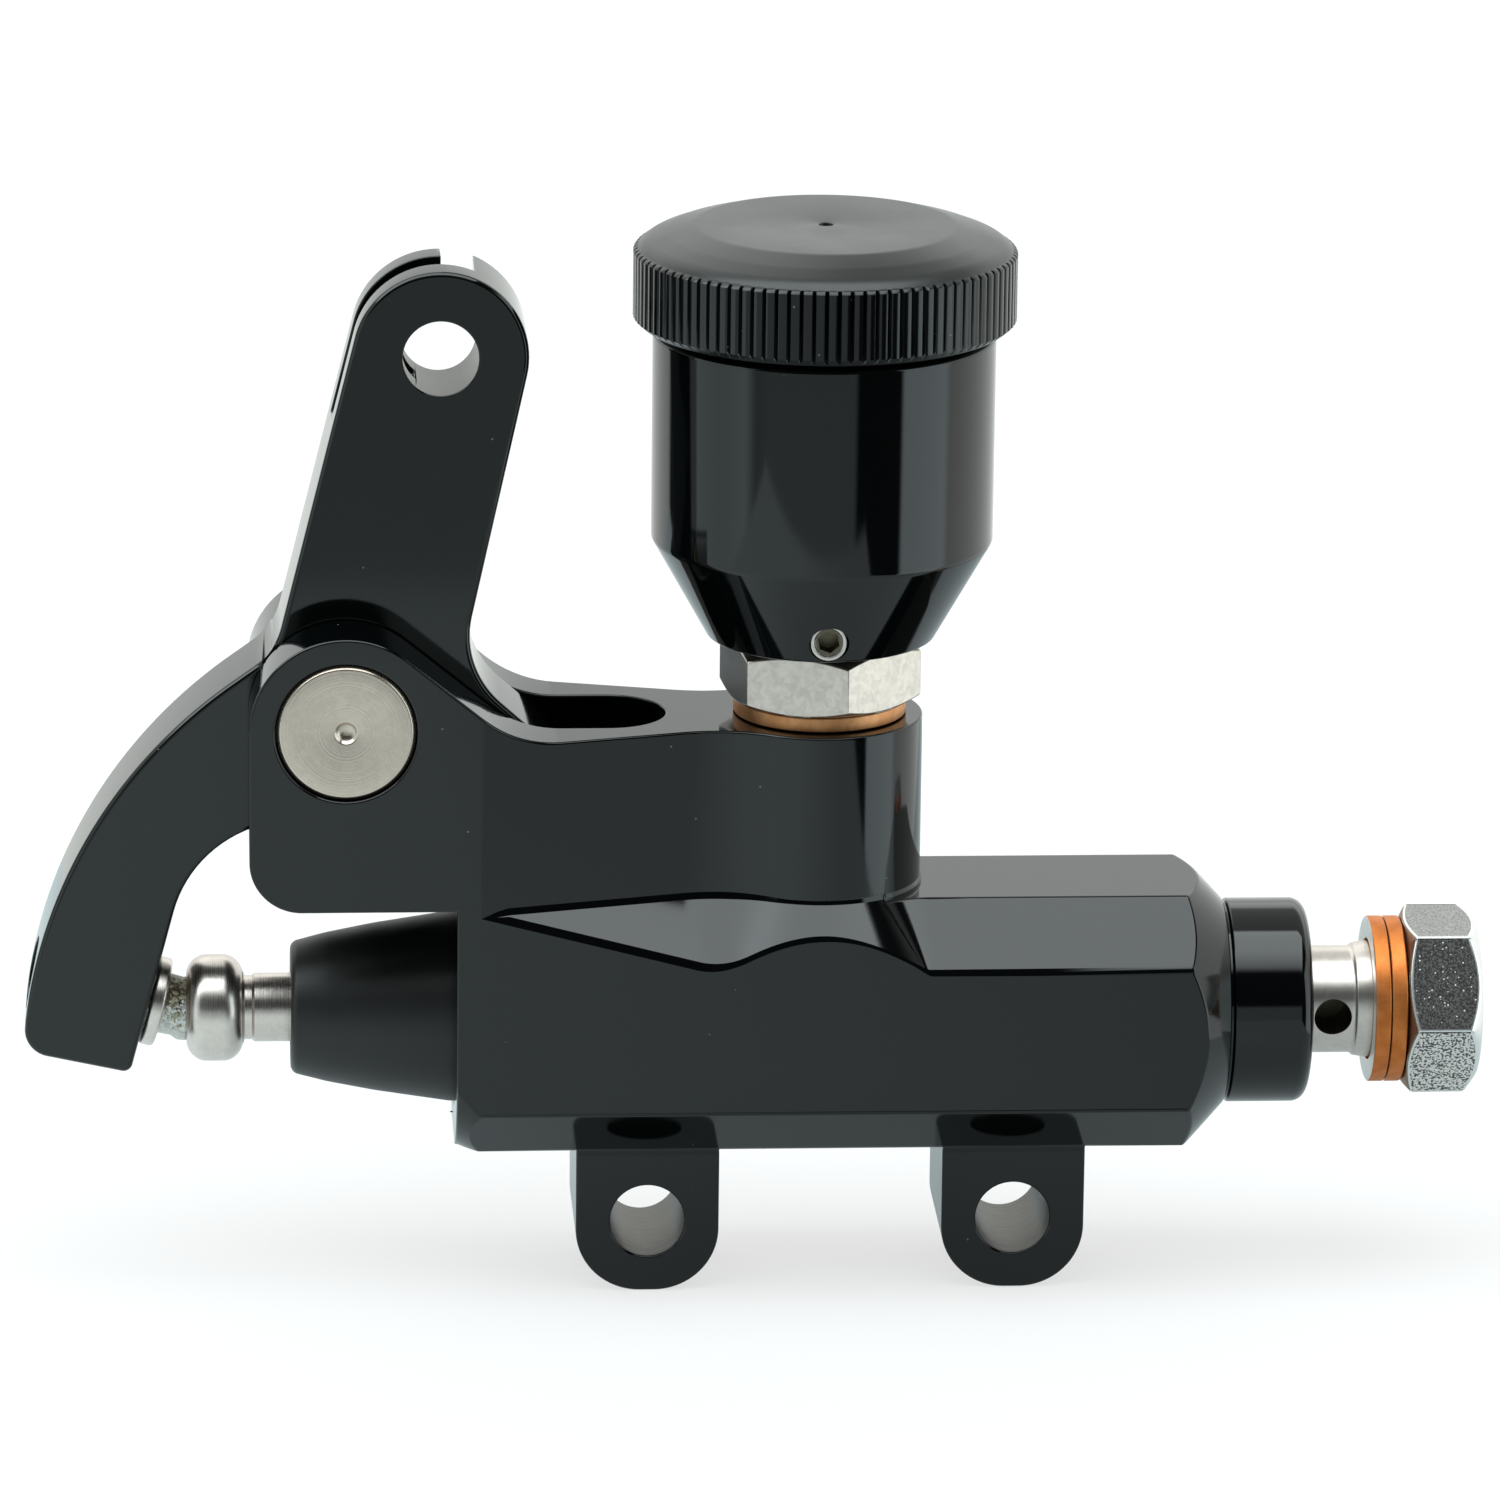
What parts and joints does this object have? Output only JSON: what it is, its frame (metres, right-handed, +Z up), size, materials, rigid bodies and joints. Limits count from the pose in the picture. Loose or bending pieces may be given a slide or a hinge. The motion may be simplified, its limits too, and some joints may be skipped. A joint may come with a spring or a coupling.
{
  "type": "brake master cylinder",
  "caption": "Cable-operated motorcycle brake master cylinder: machined block with lugs, bell-crank lever, pushrod, dust boot, screw-cap reservoir and hollow outlet bolt.",
  "frame": {"origin": "centre of the block's flat underside, midway between the two mounting lugs", "axes": "+X along the bore towards the outlet, +Y to the side across the lever, +Z up towards the reservoir"},
  "size_m": [0.1269, 0.033, 0.0941],
  "materials": {
    "black_anodised": "glossy black anodised",
    "stainless_steel": "turned, satin",
    "zinc_plated_steel": "zinc plated, fine blasted",
    "copper": "fine scratched",
    "bronze": "plain",
    "rubber": "matte",
    "white_plastic": "plain"
  },
  "bodies": {
    "housing": {"cylinder_body": "black_anodised", "pivot_pin": "stainless_steel", "pin_lock_screw": "stainless_steel", "dust_boot": "rubber", "bore_circlip": "stainless_steel", "stop_washer": "stainless_steel", "return_spring": "stainless_steel", "hex_union": "stainless_steel", "union_copper_washer": "copper", "union_o_ring": "rubber", "reservoir": "black_anodised", "reservoir_set_screw": "zinc_plated_steel", "diaphragm": "rubber", "banjo_bolt": "zinc_plated_steel", "banjo_washer_inner": "copper", "banjo_washer_outer": "copper"},
    "lever": {"lever": "black_anodised", "lever_bush": "bronze", "adjuster_lock_nut": "stainless_steel"},
    "adjuster": {"adjuster_screw": "stainless_steel"},
    "piston": {"piston": "stainless_steel", "primary_cup": "rubber", "secondary_seal": "rubber", "spring_seat": "stainless_steel"},
    "pushrod": {"pushrod": "stainless_steel"},
    "slip_ring": {"slip_ring": "white_plastic"},
    "cap": {"cap": "black_anodised"}
  },
  "joints": [
    {"name": "lever_swing", "type": "hinge", "parent": "housing", "child": "lever", "pos_m": [-0.0423, 0, 0.0394], "axis": [0, -1, 0], "range_deg": [0, 14]},
    {"name": "adjuster_feed", "type": "slide", "parent": "lever", "child": "adjuster", "axis": [0.9686, 0, -0.2487], "range_m": [-0.002, 0]},
    {"name": "piston_slide", "type": "slide", "parent": "housing", "child": "piston", "axis": [1, 0, 0], "range_m": [0, 0.0071], "deforming": ["dust_boot", "return_spring"]},
    {"name": "pushrod_tilt", "type": "hinge", "parent": "piston", "child": "pushrod", "pos_m": [-0.0238, 0, 0.0113], "axis": [0, -1, 0], "range_deg": [0, 4.8]},
    {"name": "cap_lift", "type": "slide", "parent": "housing", "child": "slip_ring", "axis": [0, 0, 1], "range_m": [0, 0.0045]},
    {"name": "cap_turn", "type": "hinge", "parent": "slip_ring", "child": "cap", "pos_m": [-0.0011, 0, 0.0726], "axis": [0, 0, 1], "range_deg": [0, 1080]}
  ],
  "couplings": [
    {"joint": "piston_slide", "follows": "lever_swing", "m_per_rad": 0.0289},
    {"joint": "pushrod_tilt", "follows": "lever_swing", "ratio": 0.34},
    {"joint": "cap_lift", "follows": "cap_turn", "m_per_rad": 0.00023873}
  ]
}
